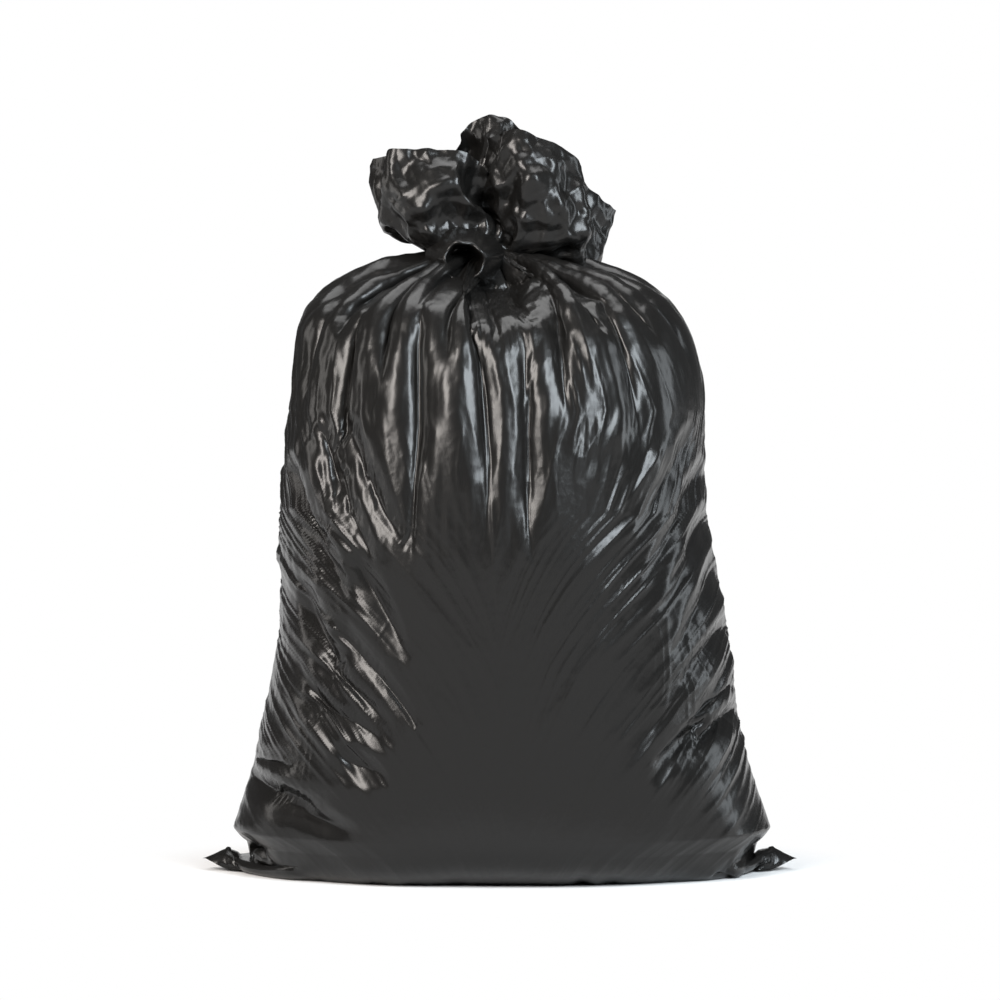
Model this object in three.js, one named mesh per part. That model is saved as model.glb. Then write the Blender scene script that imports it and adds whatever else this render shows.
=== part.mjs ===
// A full bin bag: one sack of thin black film, filled, gathered at the neck and knotted with its own film.
// Above the knot the loose end of the film flares into a crown of ruffled lobes.
// Millimetres, +Z up. The front of the bag faces -Y.
// The origin is on the floor under the middle of the bag.
// The bag is lofted in rings, each a closed loop of points, from the middle of its base up over the shoulder,
// through the neck and knot, over the crown's hem and down inside it.

import * as THREE from 'three';

// Facets
const COLUMNS = 144;
const BASE_RINGS = 2;
const BODY_RINGS = 24;
const RING_CROWDING = 0.75; // how much closer the body's rings lie at the foot and the neck than at the waist
const CROWN_RINGS = 7;
const THROAT_RINGS = 4;

// Body: its width at the waist, its greatest depth from front to back, and how high its gathered neck stands
const BODY_WIDTH = 446;
const BODY_DEPTH = 444;
const NECK_HEIGHT = 640;

// Sections of the body: height as a share of the neck's, reach to the left and right of the middle as shares
// of the width, and depth as a share of the depth. Square is the exponent of the section's superellipse.
const FOOT = { height: 0, left: 0.587, right: 0.565, depth: 0.71, square: 1.9 };
const HEM = { height: 0.065, left: 0.61, right: 0.615, depth: 0.86, square: 2 };
const HIP = { height: 0.131, left: 0.581, right: 0.59, depth: 0.922, square: 2.14 };
const THIGH = { height: 0.266, left: 0.539, right: 0.544, depth: 0.966, square: 2.18 };
const WAIST = { height: 0.469, left: 0.506, right: 0.501, depth: 0.995, square: 2.2 };
const RIBS = { height: 0.656, left: 0.497, right: 0.469, depth: 0.98, square: 2.22 };
const CHEST = { height: 0.797, left: 0.474, right: 0.464, depth: 0.91, square: 2.15 };
const SHOULDER = { height: 0.908, left: 0.455, right: 0.402, depth: 0.75, square: 2 };
const YOKE = { height: 0.942, left: 0.407, right: 0.361, depth: 0.63, square: 1.9 };
const CAPE = { height: 0.973, left: 0.336, right: 0.297, depth: 0.48, square: 1.9 };
const COLLAR = { height: 0.992, left: 0.25, right: 0.19, depth: 0.31, square: 1.9 };
const NECK = { height: 1, left: 0.083, right: 0.029, depth: 0.113, square: 2 };
const SECTIONS = [FOOT, HEM, HIP, THIGH, WAIST, RIBS, CHEST, SHOULDER, YOKE, CAPE, COLLAR, NECK];

// Sealed corners of the flat sack, which stand out at either side of the foot
const CORNER_SPAN = 608;
const CORNER_HALF_WIDTH = 30;
const CORNER_THICKNESS = 14;
const LEFT_CORNER_HEIGHT = 12;
const RIGHT_CORNER_HEIGHT = 14;

// Gathers that run down from the neck: azimuth in degrees, depth as a share of the deepest and run as a share
// of the longest
const GATHER_DEPTH = 28;
const GATHER_RUN = 330;
const GATHER_HALF_WIDTH = 20;
const GATHER_OPENING = 70;
const GATHERS = [
  { azimuth: 5, depth: 0.75, run: 0.62 },
  { azimuth: 26, depth: 0.35, run: 0.4 },
  { azimuth: 40, depth: 0.4, run: 0.65 },
  { azimuth: 60, depth: 0.3, run: 0.4 },
  { azimuth: 86, depth: 0.75, run: 1 },
  { azimuth: 112, depth: 0.35, run: 0.4 },
  { azimuth: 136, depth: 0.8, run: 0.7 },
  { azimuth: 150, depth: 0.9, run: 0.75 },
  { azimuth: 171, depth: 0.85, run: 0.9 },
  { azimuth: 183, depth: 1, run: 0.72 },
  { azimuth: 198, depth: 0.35, run: 0.4 },
  { azimuth: 213, depth: 0.65, run: 0.62 },
  { azimuth: 226, depth: 0.65, run: 0.68 },
  { azimuth: 241, depth: 0.35, run: 0.4 },
  { azimuth: 259, depth: 0.85, run: 0.95 },
  { azimuth: 277, depth: 0.5, run: 0.65 },
  { azimuth: 293, depth: 0.5, run: 0.8 },
  { azimuth: 308, depth: 0.45, run: 0.38 },
  { azimuth: 330, depth: 0.3, run: 0.4 },
  { azimuth: 347, depth: 0.3, run: 0.4 },
];

// Knot of twisted film between the neck and the crown
const KNOT_HEIGHT = 12;
const KNOT_RADIUS = 33;
const KNOT_TOP_RADIUS = 22;
const KNOT_WRAP_DEPTH = 3;
const KNOT_WRAPS = 3;

// Crown: how far its loose film reaches out and how high it stands above the knot, and in each direction
// the three points that bend the film from the knot to its hem, as shares of that reach and that rise
const CROWN_REACH = 118;
const CROWN_RISE = 110;
const CROWN_FLATNESS = 0.75; // depth over width
const CROWN = [
  { azimuth: 0, low: [0.71, -0.1], high: [1.05, 0.33], hem: [0.48, 0.93] },
  { azimuth: 25, low: [0.56, 0], high: [0.85, 0.46], hem: [0.43, 0.95] },
  { azimuth: 60, low: [0.32, 0.2], high: [0.48, 0.6], hem: [0.36, 0.97] },
  { azimuth: 92, low: [0.25, 0.26], high: [0.34, 0.7], hem: [0.32, 1] },
  { azimuth: 125, low: [0.31, 0.14], high: [0.52, 0.52], hem: [0.45, 0.88] },
  { azimuth: 158, low: [0.62, -0.12], high: [1.08, 0.36], hem: [0.64, 0.9] },
  { azimuth: 184, low: [0.78, -0.2], high: [1.32, 0.4], hem: [0.72, 0.92] },
  { azimuth: 212, low: [0.68, -0.18], high: [1.12, 0.38], hem: [0.5, 0.82] },
  { azimuth: 240, low: [0.4, -0.04], high: [0.68, 0.36], hem: [0.3, 0.6] },
  { azimuth: 264, low: [0.16, 0.14], high: [0.14, 0.32], hem: [0.14, 0.5] },
  { azimuth: 286, low: [0.24, 0.2], high: [0.32, 0.6], hem: [0.25, 0.98] },
  { azimuth: 308, low: [0.4, 0.05], high: [0.68, 0.52], hem: [0.34, 0.98] },
  { azimuth: 335, low: [0.66, -0.08], high: [1.02, 0.37], hem: [0.46, 0.96] },
];
const FILM_BUNDLE = 8; // thickness of the crown's wall, many layers of loose film
const CRUMPLE = 4;
const THROAT_SHARE = 0.6; // how much of the crown's rise its hollow goes down
const THROAT_FLOOR = 0.4; // height of the hollow's floor as a share of the crown's rise

// Buckles on the flanks: a groove from one place on the skin to another, each as an azimuth in degrees and
// a share of the neck's height, and its depth as a share of the deepest
const BUCKLE_WIDTH = 15;
const BUCKLE_DEPTH = 14;
const BUCKLES = [
  { from: [182, 0.19], to: [222, 0.113], depth: 0.9 },
  { from: [212, 0.325], to: [240, 0.205], depth: 0.6 },
  { from: [357, 0.331], to: [311, 0.17], depth: 1 },
  { from: [160, 0.2], to: [124, 0.11], depth: 0.8 },
  { from: [14, 0.36], to: [52, 0.2], depth: 0.8 },
];

const FULL_TURN = 2 * Math.PI;
const NECK_CENTRE = BODY_WIDTH * (NECK.right - NECK.left) / 2;
const KNOT_TOP = NECK_HEIGHT + KNOT_HEIGHT;
const radians = THREE.MathUtils.degToRad;
const bell = (distance, width) => Math.exp(-((distance / width) ** 2));

// How far one direction lies from another, in radians either way.
function turnFrom(azimuth, angle) {
  return THREE.MathUtils.euclideanModulo(angle - radians(azimuth) + Math.PI, FULL_TURN) - Math.PI;
}

// The body's profile: the sections joined by a smooth curve, followed by its distance from the floor.
const stepsAlong = SECTIONS.map((section, i) => {
  const below = SECTIONS[Math.max(i - 1, 0)];
  const inward = (section.left - below.left) * BODY_WIDTH;
  const upward = (section.height - below.height) * NECK_HEIGHT;
  return Math.hypot(inward, upward);
});
const stations = stepsAlong.map((_, i) => stepsAlong.slice(0, i + 1).reduce((sum, step) => sum + step));
const bodyLength = stations.at(-1);
const sectionValues = SECTIONS.flatMap((section) => [
  section.height * NECK_HEIGHT,
  section.left * BODY_WIDTH,
  section.right * BODY_WIDTH,
  section.depth * BODY_DEPTH,
  section.square,
]);
const profile = new THREE.CubicInterpolant(stations, sectionValues, sectionValues.length / SECTIONS.length);

function sectionAt(distance) {
  const [height, left, right, depth, square] = profile.evaluate(distance);
  return {
    height: Math.max(height, 0),
    centre: (right - left) / 2,
    halfWidth: (right + left) / 2,
    halfDepth: depth / 2,
    square,
  };
}

// A point of the smooth body, before it is gathered and buckled.
function smoothBody(angle, distance) {
  const { height, centre, halfWidth, halfDepth, square } = sectionAt(distance);
  const squared = (value) => Math.sign(value) * Math.abs(value) ** (2 / square);
  const y = halfDepth * squared(Math.sin(angle));
  const isRight = Math.cos(angle) > 0;
  const cornerHeight = isRight ? RIGHT_CORNER_HEIGHT : LEFT_CORNER_HEIGHT;
  const cornerShare = bell(y, CORNER_HALF_WIDTH) * bell(height - cornerHeight, CORNER_THICKNESS);
  const side = squared(Math.cos(angle));
  const edge = centre + halfWidth * side;
  const x = THREE.MathUtils.lerp(edge, Math.sign(side) * CORNER_SPAN / 2, cornerShare);
  return new THREE.Vector3(x, y, height);
}

// Outward normal of the smooth body, from two short steps along its skin.
function bodyNormal(angle, distance) {
  const turn = 1e-3;
  const step = 0.5;
  const here = smoothBody(angle, distance);
  const around = smoothBody(angle + turn, distance).sub(here);
  const along = smoothBody(angle, distance - step).sub(here).negate();
  return around.cross(along).normalize();
}

// Depth of the gathers at a place on the skin: sharp valleys that open below the neck, deepen and fade out.
function gatherDepth(point, belowNeck) {
  const angle = Math.atan2(point.y, point.x - NECK_CENTRE);
  const arm = Math.hypot(point.y, point.x - NECK_CENTRE);
  const opening = THREE.MathUtils.smoothstep(belowNeck, 0, GATHER_OPENING);
  return GATHERS.reduce((sum, { azimuth, depth, run }) => {
    const aside = Math.abs(turnFrom(azimuth, angle)) * arm;
    const valley = Math.max(0, 1 - aside / GATHER_HALF_WIDTH);
    const fading = 1 - THREE.MathUtils.smoothstep(belowNeck, run * GATHER_RUN / 2, run * GATHER_RUN);
    return sum + GATHER_DEPTH * depth * valley * opening * fading;
  }, 0);
}

// Depth of one buckle's groove at a place on the skin, tapering to both of its ends.
function buckleDepth({ from, to, depth }, point) {
  const arm = BODY_WIDTH / 2;
  const angle = Math.atan2(point.y, point.x - NECK_CENTRE);
  const start = new THREE.Vector2(0, from[1] * NECK_HEIGHT);
  const end = new THREE.Vector2(radians(to[0] - from[0]) * arm, to[1] * NECK_HEIGHT);
  const place = new THREE.Vector2(turnFrom(from[0], angle) * arm, point.z).sub(start);
  const groove = end.sub(start);
  const share = THREE.MathUtils.clamp(place.dot(groove) / groove.lengthSq(), 0, 1);
  const taper = Math.sin(Math.PI * share);
  const aside = place.sub(groove.multiplyScalar(share)).length();
  return BUCKLE_DEPTH * depth * taper * bell(aside, BUCKLE_WIDTH);
}

function bodyRing(distance) {
  return (angle) => {
    const point = smoothBody(angle, distance);
    const gathers = gatherDepth(point, bodyLength - distance);
    const buckles = BUCKLES.reduce((sum, buckle) => sum + buckleDepth(buckle, point), 0);
    const offFloor = THREE.MathUtils.smoothstep(point.z, 0, HEM.height * NECK_HEIGHT);
    return point.addScaledVector(bodyNormal(angle, distance), -(gathers + buckles) * offFloor);
  };
}

// The flat base, as the foot's outline drawn in towards the middle.
function baseRing(share) {
  return (angle) => {
    const { x, y } = smoothBody(angle, 0);
    return new THREE.Vector3(x * share, y * share, 0);
  };
}

// A ring of the knot, whose wraps slant round it.
function knotRing(radius, height) {
  return (angle) => {
    const wrap = KNOT_WRAP_DEPTH * Math.sin(KNOT_WRAPS * angle + height / KNOT_WRAP_DEPTH);
    return new THREE.Vector3(
      NECK_CENTRE + (radius + wrap) * Math.cos(angle),
      (radius + wrap) * Math.sin(angle),
      height,
    );
  };
}

// The curve of the crown's film in one direction, from the knot to the hem, eased between the two nearest
// directions that are given.
function crownCurve(angle) {
  const wrapped = (turn) => THREE.MathUtils.euclideanModulo(turn, FULL_TURN);
  const turns = CROWN.map(({ azimuth }) => wrapped(angle - radians(azimuth)));
  const before = turns.indexOf(Math.min(...turns));
  const after = (before + 1) % CROWN.length;
  const gap = wrapped(radians(CROWN[after].azimuth - CROWN[before].azimuth));
  const share = THREE.MathUtils.smoothstep(turns[before], 0, gap);
  const blend = (point) => {
    const [fromReach, fromRise] = CROWN[before][point];
    const [toReach, toRise] = CROWN[after][point];
    return new THREE.Vector2(
      CROWN_REACH * THREE.MathUtils.lerp(fromReach, toReach, share),
      CROWN_RISE * THREE.MathUtils.lerp(fromRise, toRise, share),
    );
  };
  const start = new THREE.Vector2(KNOT_TOP_RADIUS, 0);
  return new THREE.CubicBezierCurve(start, blend('low'), blend('high'), blend('hem'));
}

// Uneven creasing of the loose film, growing from the knot to the hem.
const CREASES = [
  { count: 11, slant: 5, start: 0 },
  { count: 17, slant: -7, start: 2 },
];
function crumpleAt(angle, share) {
  const waves = CREASES.map(({ count, slant, start }) => Math.sin(count * angle + slant * share + start));
  return CRUMPLE * share * waves.reduce((sum, wave) => sum + wave) / CREASES.length;
}

// A ring of the crown's wall. Share runs from 0 at the knot to 1 at the hem, and inset is 0 outside.
function crownRing(share, inset) {
  return (angle) => {
    const curve = crownCurve(angle);
    const place = curve.getPoint(share);
    const heading = curve.getTangent(share);
    const inward = new THREE.Vector2(-heading.y, heading.x);
    const slack = Math.min(place.x / KNOT_RADIUS, 1);
    place.addScaledVector(inward, inset + crumpleAt(angle, share) * slack);
    return new THREE.Vector3(
      NECK_CENTRE + place.x * Math.cos(angle),
      place.x * Math.sin(angle) * CROWN_FLATNESS,
      KNOT_TOP + place.y,
    );
  };
}

// Rings joined by triangles, and closed at a middle point below the first ring and one above the last.
function skin(rings, firstMiddle, lastMiddle) {
  const points = rings.flatMap((ring) =>
    Array.from({ length: COLUMNS }, (_, column) => ring(column / COLUMNS * FULL_TURN)));
  const first = points.push(firstMiddle) - 1;
  const last = points.push(lastMiddle) - 1;
  const triangles = [];
  for (let column = 0; column < COLUMNS; column++) {
    const next = (column + 1) % COLUMNS;
    for (let row = 0; row + 1 < rings.length; row++) {
      const below = row * COLUMNS;
      const above = below + COLUMNS;
      triangles.push(below + column, below + next, above + next);
      triangles.push(below + column, above + next, above + column);
    }
    const top = (rings.length - 1) * COLUMNS;
    triangles.push(first, next, column);
    triangles.push(top + column, top + next, last);
  }
  return new THREE.BufferGeometry().setFromPoints(points).setIndex(triangles);
}

const shares = (count) => Array.from({ length: count }, (_, i) => (i + 1) / count);
const crowded = (share) => share - RING_CROWDING * Math.sin(FULL_TURN * share) / FULL_TURN;
const throatShares = shares(THROAT_RINGS).map((share) => 1 - share * THROAT_SHARE);
const bag = skin(
  [
    ...shares(BASE_RINGS - 1).map((share) => baseRing(share / BASE_RINGS)),
    ...[0, ...shares(BODY_RINGS)].map((share) => bodyRing(crowded(share) * bodyLength)),
    knotRing(KNOT_RADIUS, NECK_HEIGHT + KNOT_HEIGHT / 3),
    knotRing(KNOT_RADIUS, NECK_HEIGHT + KNOT_HEIGHT * 2 / 3),
    knotRing(KNOT_TOP_RADIUS, KNOT_TOP),
    ...shares(CROWN_RINGS).map((share) => crownRing(share, 0)),
    ...[1, ...throatShares].map((share) => crownRing(share, FILM_BUNDLE)),
  ],
  new THREE.Vector3(0, 0, 0),
  new THREE.Vector3(NECK_CENTRE, 0, KNOT_TOP + CROWN_RISE * THROAT_FLOOR),
);
bag.computeVertexNormals();
bag.computeBoundingBox();
const middle = bag.boundingBox.getCenter(new THREE.Vector3());
bag.translate(-middle.x, -middle.y, -bag.boundingBox.min.z);

const film = new THREE.MeshStandardMaterial({ color: 0x2b2a28, roughness: 0.36, metalness: 0 });
const binBag = new THREE.Mesh(bag, film);
binBag.name = 'bin_bag';

const part = new THREE.Group();
part.add(binBag);

export default part;
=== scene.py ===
import math

import bmesh
import bpy
import numpy as np
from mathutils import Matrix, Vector


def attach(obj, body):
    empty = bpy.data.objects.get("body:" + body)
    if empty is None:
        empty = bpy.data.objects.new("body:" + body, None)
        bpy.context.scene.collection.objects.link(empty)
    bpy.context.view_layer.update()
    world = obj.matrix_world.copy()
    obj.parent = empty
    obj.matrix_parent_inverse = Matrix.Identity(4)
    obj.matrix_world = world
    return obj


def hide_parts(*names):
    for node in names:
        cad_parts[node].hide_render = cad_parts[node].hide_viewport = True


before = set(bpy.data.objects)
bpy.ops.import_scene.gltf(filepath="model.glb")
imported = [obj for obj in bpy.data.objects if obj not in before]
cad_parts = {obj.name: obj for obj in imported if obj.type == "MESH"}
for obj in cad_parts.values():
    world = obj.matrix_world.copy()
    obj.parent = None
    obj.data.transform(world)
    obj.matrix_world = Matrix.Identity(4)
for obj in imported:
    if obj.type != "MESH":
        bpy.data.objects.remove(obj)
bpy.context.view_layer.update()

# Film of the sack, in metres.
GIRTH = 1.40
BODY_LENGTH = 0.95
CROWN_LENGTH = 0.165
NECK = np.array([-0.012, 0.0, 0.636])
NECK_RADIUS = 0.022
SETTLED_NECK_HEIGHT = 0.612
SHOULDER_TOP = 0.637
WAIST_HEIGHT = 0.35
EAR_TIP = 0.304
EAR_REACH = 0.085
TUCK = np.array([-0.036, -0.072, 0.6180])

# Time step of the film solver, in seconds.
TICK = 1 / 500

# What fills the sack: height, reach to the left, reach to the right, depth.
CONTENTS = np.array([
    [0.000, 0.262, 0.252, 0.350],
    [0.024, 0.268, 0.260, 0.372],
    [0.084, 0.259, 0.257, 0.384],
    [0.170, 0.242, 0.241, 0.402],
    [0.300, 0.222, 0.221, 0.412],
    [0.420, 0.218, 0.205, 0.410],
    [0.510, 0.208, 0.203, 0.396],
    [0.576, 0.194, 0.185, 0.350],
    [0.605, 0.165, 0.155, 0.280],
    [0.622, 0.125, 0.110, 0.200],
    [0.632, 0.060, 0.050, 0.090],
])
SQUARENESS = 2.3
CONTENTS_MIDDLE = np.array([0.0, 0.0, 0.28])

# The eye: how far off, how far above level, what height it looks at, and its angle of view.
# Places in the picture count from its top left corner. It is twice HALF_PICTURE wide, and PICTURE_SCALE is
# how many of its steps a metre takes up at a metre from the eye.
EYE_DISTANCE = 4.2
EYE_RISE = math.radians(1.5)
EYE_HEIGHT = 0.3775
HALF_PICTURE = 500
PICTURE_SCALE = 4120
EYE_ANGLE = 2 * math.atan(HALF_PICTURE / PICTURE_SCALE)
EYE = np.array([0.0, -EYE_DISTANCE * math.cos(EYE_RISE), EYE_HEIGHT + EYE_DISTANCE * math.sin(EYE_RISE)])

SEED = 7
BACK_VALLEYS = 13

# Valleys of the front's gathers: place along the film from the middle of the front, and run below the neck.
FRONT_VALLEYS = [
    (-0.30, 0.18), (-0.255, 0.24), (-0.215, 0.20), (-0.172, 0.30), (-0.125, 0.24), (-0.085, 0.31),
    (-0.046, 0.25), (-0.012, 0.33), (0.024, 0.24), (0.055, 0.35), (0.094, 0.28), (0.132, 0.22),
    (0.172, 0.29), (0.222, 0.22), (0.27, 0.26), (0.315, 0.16),
]


def ease(low, high, value):
    """Smooth step from 0 at low to 1 at high."""
    share = np.clip((value - low) / (high - low), 0, 1)
    return share * share * (3 - 2 * share)


# Film solver

def pull_together(a, b, free_a, free_b, rest, stiffness, push):
    """Moves the two ends of each pair of points towards its rest length, in place."""
    gap = b - a
    length = np.sqrt(np.einsum("...k,...k", gap, gap)) + 1e-9
    share = stiffness * (length - rest) / (length * (free_a + free_b + 1e-9))
    share = np.where(share < 0, share * push, share)
    gap *= share[..., None]
    a += gap * free_a[..., None]
    b -= gap * free_b[..., None]


def hold_around(film, free, step, rest, stiffness, push):
    """Holds points that are step columns apart, in two sets that share no point."""
    rows, columns = film.shape[:2]
    rest = np.broadcast_to(rest, (rows,))[:, None, None]
    for shift in (0, step):
        turned = np.roll(film, -shift, axis=1).reshape(rows, columns // (2 * step), 2, step, 3)
        loose = np.roll(free, -shift, axis=1).reshape(rows, columns // (2 * step), 2, step)
        pull_together(turned[:, :, 0], turned[:, :, 1], loose[:, :, 0], loose[:, :, 1],
                      rest, stiffness, push[:, None, None])
        film[...] = np.roll(turned.reshape(rows, columns, 3), shift, axis=1)


def hold_along(film, free, step, rest, stiffness):
    """Holds points that are step rows apart."""
    low = np.arange(film.shape[0] - step)
    for parity in (0, 1):
        lower = low[(low // step) % 2 == parity]
        upper = lower + step
        a, b = film[lower], film[upper]
        pull_together(a, b, free[lower], free[upper], rest, stiffness, 1.0)
        film[lower] = a
        film[upper] = b


def hold_across(film, free, turn, rest, stiffness, push):
    """Holds each point to the next row's neighbour, one column on or back."""
    rows = film.shape[0]
    rest = np.broadcast_to(rest, (rows,))
    for first in (0, 1):
        lower, upper = slice(first, rows - 1, 2), slice(first + 1, rows, 2)
        a = film[lower]
        b = np.roll(film[upper], -turn, axis=1)
        a = a[:b.shape[0]]
        pull_together(a, b, free[lower][:b.shape[0]], np.roll(free[upper], -turn, axis=1),
                      rest[lower][:b.shape[0], None], stiffness, push[lower][:b.shape[0], None])
        film[first:first + 2 * a.shape[0]:2] = a
        film[upper] = np.roll(b, turn, axis=1)


def outward(film):
    """Unit normals of a grid of film, pointing out of the sack."""
    around = np.roll(film, -1, 1) - np.roll(film, 1, 1)
    along = np.gradient(film, axis=0)
    normal = np.cross(around, along)
    return normal / (np.linalg.norm(normal, axis=-1, keepdims=True) + 1e-12)


def refine(film):
    """A grid with twice the columns and twice the row steps, on smooth curves through the points."""
    middle = (9 * (film + np.roll(film, -1, 1)) - np.roll(film, 1, 1) - np.roll(film, -2, 1)) / 16
    wide = np.stack([film, middle], axis=2).reshape(film.shape[0], -1, 3)
    padded = np.concatenate([2 * wide[:1] - wide[1:2], wide, 2 * wide[-1:] - wide[-2:-1]])
    between = (9 * (padded[1:-2] + padded[2:-1]) - padded[:-3] - padded[3:]) / 16
    tall = np.empty((2 * wide.shape[0] - 1, wide.shape[1], 3))
    tall[0::2] = wide
    tall[1::2] = between
    return tall


def contents_reach(bearings=256, rises=192):
    """How far the contents reach from their middle, for each bearing and rise."""
    bearing = np.linspace(-np.pi, np.pi, bearings + 1)[:-1, None]
    rise = np.linspace(-np.pi / 2, np.pi / 2, rises)[None]
    ray = np.stack(np.broadcast_arrays(
        np.cos(bearing) * np.cos(rise), np.sin(bearing) * np.cos(rise), np.sin(rise)), -1)
    near = np.zeros(ray.shape[:2])
    far = np.full(ray.shape[:2], 0.6)
    height = CONTENTS[:, 0]
    for _ in range(30):
        reach = (near + far) / 2
        x, y, z = np.moveaxis(CONTENTS_MIDDLE + ray * reach[..., None], -1, 0)
        wide = np.where(x < 0, np.interp(z, height, CONTENTS[:, 1]), np.interp(z, height, CONTENTS[:, 2]))
        deep = np.interp(z, height, CONTENTS[:, 3]) / 2
        inside = (np.abs(x) / wide) ** SQUARENESS + (np.abs(y) / deep) ** SQUARENESS < 1
        inside &= (z > 0) & (z < height[-1])
        near = np.where(inside, reach, near)
        far = np.where(inside, far, reach)
    return near


def gap_to_contents(film, reach):
    """Distance of each point outside the contents, and the direction it is measured along."""
    bearings, rises = reach.shape
    ray = film - CONTENTS_MIDDLE
    away = np.sqrt(np.einsum("...k,...k", ray, ray)) + 1e-9
    ray = ray / away[..., None]
    column = (np.arctan2(ray[..., 1], ray[..., 0]) + np.pi) / (2 * np.pi) * bearings
    row = (np.arcsin(np.clip(ray[..., 2], -1, 1)) + np.pi / 2) / np.pi * (rises - 1)
    left = np.floor(column).astype(int)
    below = np.clip(np.floor(row).astype(int), 0, rises - 2)
    part, rest = column - left, row - below
    left %= bearings
    right = (left + 1) % bearings
    low = reach[left, below] * (1 - part) + reach[right, below] * part
    high = reach[left, below + 1] * (1 - part) + reach[right, below + 1] * part
    return away - (low * (1 - rest) + high * rest), ray


def standing_sack(rows, columns, rng):
    """The sack stood open and empty: its flat seal on the floor, opening to a round tube."""
    along = np.linspace(0, BODY_LENGTH, rows)
    stops = np.array([0.0, 0.07, 0.13, 0.20, 0.30, BODY_LENGTH])
    half_width = np.interp(along, stops, [0.338, 0.315, 0.290, 0.270, 0.250, 0.235])
    half_depth = np.interp(along, stops, [0.002, 0.080, 0.140, 0.185, 0.215, 0.225])
    height = np.interp(along, stops, [0.001, 0.002, 0.012, 0.060, 0.155, 0.800])
    turn = np.linspace(0, 2 * np.pi, 1441)
    film = np.zeros((rows, columns, 3))
    for row in range(rows):
        x, y = half_width[row] * np.cos(turn), half_depth[row] * np.sin(turn)
        arc = np.concatenate([[0], np.cumsum(np.hypot(np.diff(x), np.diff(y)))])
        place = np.interp(np.arange(columns) / columns * arc[-1], arc, turn)
        film[row, :, 0] = half_width[row] * np.cos(place)
        film[row, :, 1] = half_depth[row] * np.sin(place)
        film[row, :, 2] = height[row]
    return film + rng.normal(0, 0.001, film.shape)


def valley_lines(rows, columns):
    """Where the gathers fold inwards: 1 on the line of a valley, 0 between valleys."""
    rng = np.random.default_rng(SEED + 2)
    behind = (np.arange(BACK_VALLEYS) + rng.uniform(-0.3, 0.3, BACK_VALLEYS) + 0.5) / BACK_VALLEYS
    valleys = [(0.75 + off / GIRTH, run) for off, run in FRONT_VALLEYS]
    valleys += [(0.5 * share, rng.uniform(0.12, 0.32)) for share in behind]
    column = np.arange(columns) / columns
    to_neck = np.linspace(BODY_LENGTH, 0, rows)[:, None]
    lines = np.zeros((rows, columns))
    for place, run in valleys:
        slant = rng.uniform(-0.04, 0.04)
        off = (column - place - slant * to_neck + 0.5) % 1.0 - 0.5
        end = np.clip((run - to_neck) / 0.06, 0, 1)
        lines = np.maximum(lines, np.exp(-(off * GIRTH / 0.009) ** 2) * end)
    return lines


def settle_body(film, steps, reach, gathering, pressure=1.5, weight=0.6, bend=0.03, fold=10.0):
    """Lets the film settle over the contents while its top is gathered into the neck.

    gathering is the share of the steps in which the neck closes.
    """
    rows, columns = film.shape[:2]
    across, down = GIRTH / columns, BODY_LENGTH / (rows - 1)
    free = np.ones((rows, columns))
    free[-1] = 0
    to_neck = np.linspace(BODY_LENGTH, 0, rows)
    push = np.clip(to_neck / 0.15, 0.02, 1.0)
    turn = 2 * np.pi * np.arange(columns) / columns
    mirror = (-np.arange(columns)) % columns
    top = film[-1].mean(axis=0)
    radius = np.hypot(*(film[-1, :, :2] - top[:2]).T).mean()
    valleys = valley_lines(rows, columns)
    speed = np.zeros_like(film)
    for step in range(steps):
        if step % 3 == 0:
            gap, ray = gap_to_contents(film, reach)
            near_neck = np.linalg.norm(film - NECK, axis=-1)
            lift = film[..., 2] - 0.03
            hold = np.interp(film[..., 2], [0.30, 0.46], [300.0, 260.0])
            hold = hold * np.clip((near_neck - 0.06) / 0.12, 0.05, 1) * np.clip(lift / 0.06, 0, 1)
            corner = ease(0.20, 0.25, np.abs(film[..., 0]))
            outer = np.maximum(hold, 250) * np.maximum(1 - corner, np.clip(lift / 0.03, 0, 1))
            force = outward(film) * (pressure - fold * valleys)[..., None]
            force[..., 2] -= weight
            force -= ray * (np.where(gap > 0, outer, hold) * np.clip(gap, -0.02, 0.02))[..., None]
        speed = (speed + force * TICK) * 0.99
        fast = np.linalg.norm(speed, axis=-1, keepdims=True)
        speed *= np.minimum(1, 1.5 / (fast + 1e-9))
        moved = film + speed * TICK
        share = min(1.0, step / (gathering * steps))
        share = share * share * (3 - 2 * share)
        now = radius + (NECK_RADIUS - radius) * share
        moved[-1, :, 0] = top[0] + (NECK[0] - top[0]) * share + now * np.cos(turn)
        moved[-1, :, 1] = top[1] * (1 - share) + now * np.sin(turn)
        moved[-1, :, 2] = top[2] + (SETTLED_NECK_HEIGHT - top[2]) * share
        hold_along(moved, free, 1, down, 1.0)
        hold_around(moved, free, 1, across, 1.0, push)
        hold_across(moved, free, 1, math.hypot(across, down), 0.8, push)
        hold_across(moved, free, -1, math.hypot(across, down), 0.8, push)
        if step % 2 == 0:
            hold_around(moved, free, 2, 2 * across, bend, np.ones(rows))
            hold_along(moved, free, 2, 2 * down, bend)
        moved[0] = (moved[0] + moved[0, mirror]) / 2
        np.maximum(moved[..., 2], 0.0, out=moved[..., 2])
        speed = (moved - film) / TICK
        speed[moved[..., 2] < 0.0015] *= 0.97
        film = moved
    return film


def settled_body():
    """The sack's film from the bottom seal to the neck, before its small folds."""
    film = standing_sack(127, 192, np.random.default_rng(SEED))
    return refine(settle_body(film, 1500, contents_reach(), 0.75))


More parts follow.
